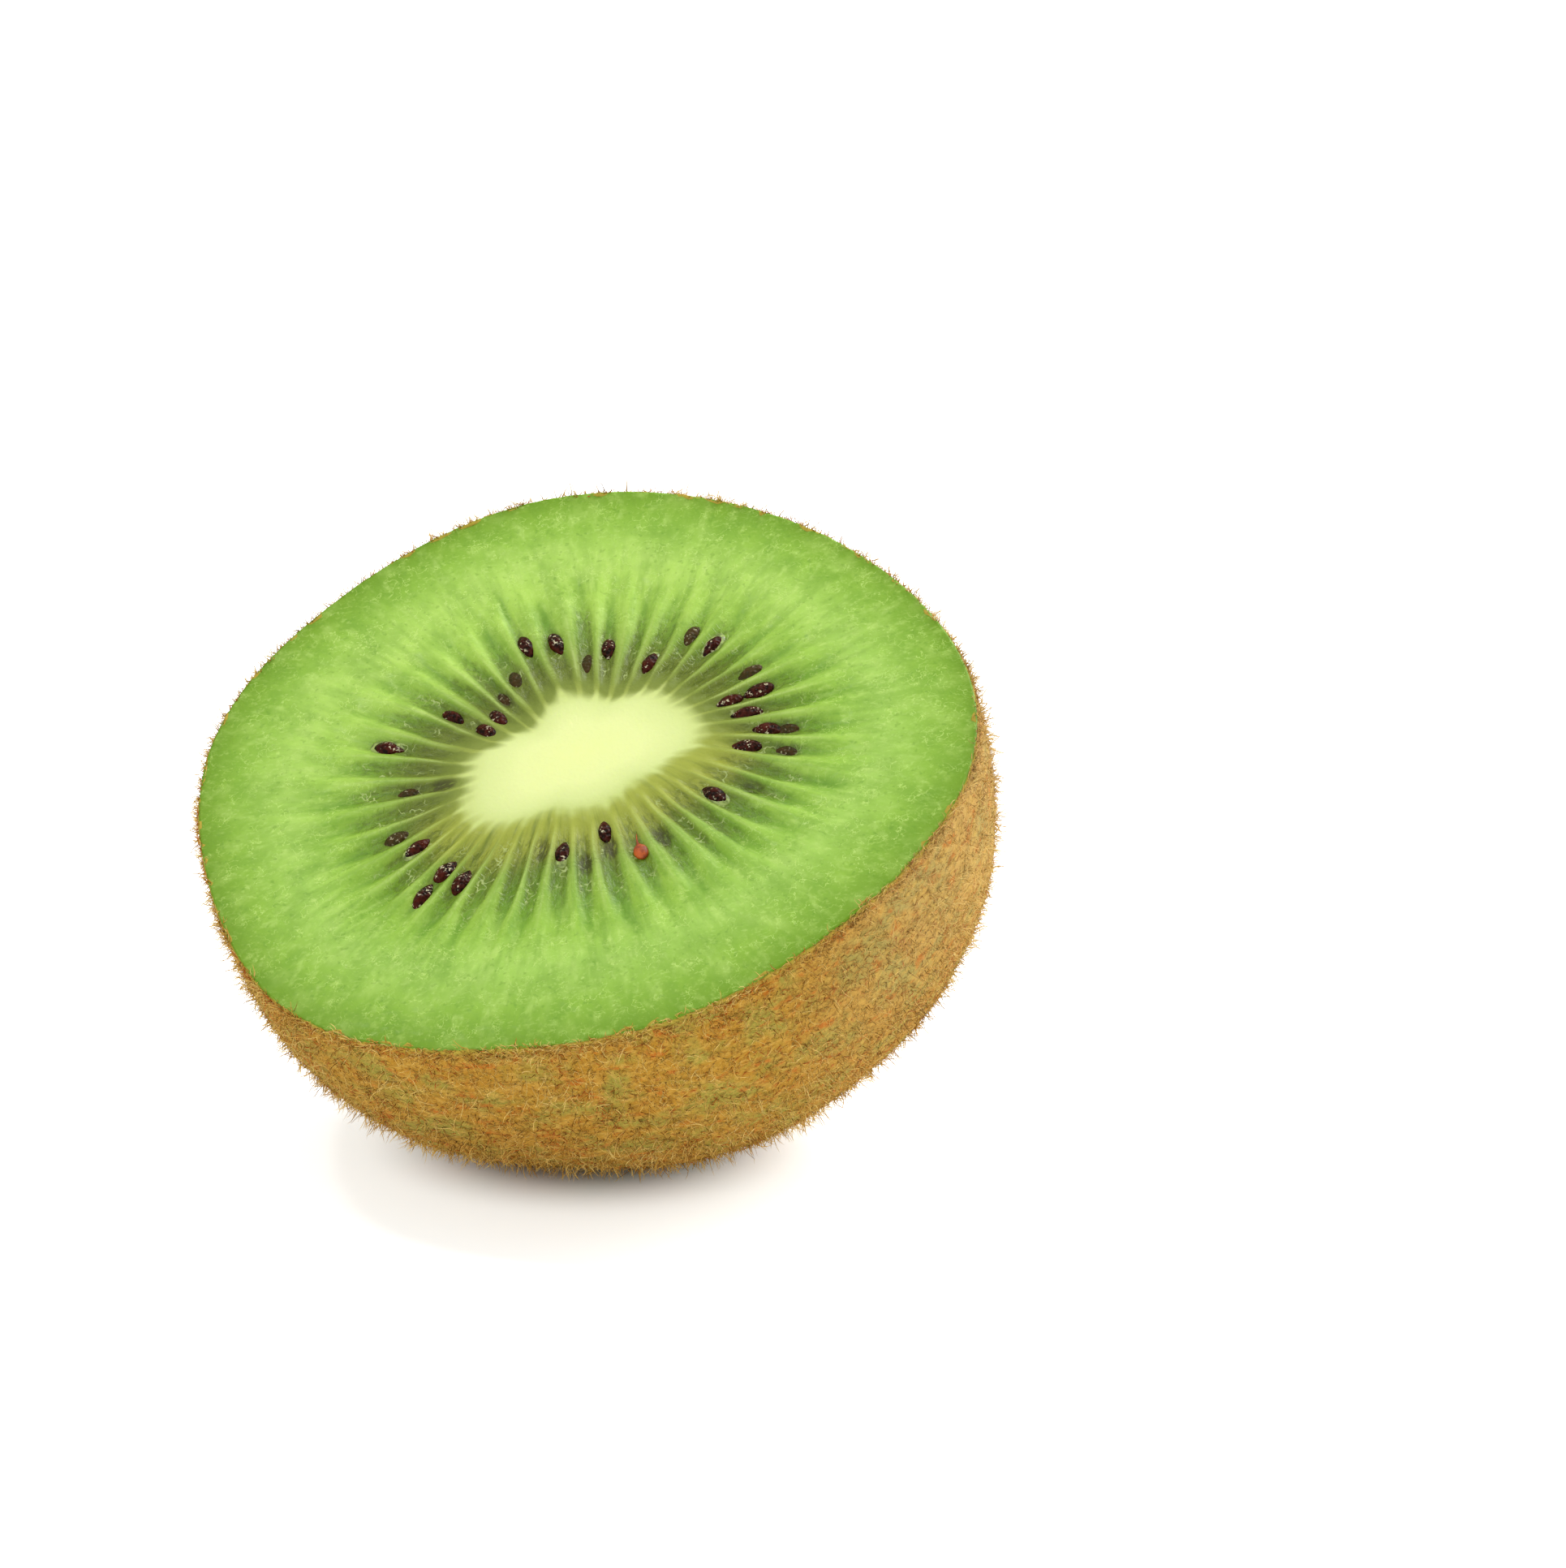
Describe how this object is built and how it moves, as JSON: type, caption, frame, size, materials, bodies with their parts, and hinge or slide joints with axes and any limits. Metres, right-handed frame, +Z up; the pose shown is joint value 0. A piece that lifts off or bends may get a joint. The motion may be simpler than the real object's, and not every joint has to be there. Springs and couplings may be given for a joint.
{
  "type": "kiwi fruit half",
  "caption": "Kiwi fruit cut in half across its core, with a bright green face, a pale core, a ring of small dark seeds and fuzzy brown skin, lying tilted on its rounded end.",
  "frame": {"origin": "middle of the small flat spot on which the half lies", "axes": "+Z up; the cut face looks up and leans 32.5 degrees towards -Y, turned a little to -X; +X runs to the right of someone who looks at the face from the front"},
  "size_m": [0.0554, 0.0507, 0.0427],
  "materials": {
    "flesh": "moist green flesh with fine pale rays",
    "core": "pale cream-yellow core, soft and matt",
    "skin": "dry brown skin with rusty flecks",
    "seeds": "glossy dark maroon",
    "fuzz": "short golden-brown hairs"
  },
  "bodies": {
    "root": {"kiwi_half": "flesh"}
  },
  "joints": []
}
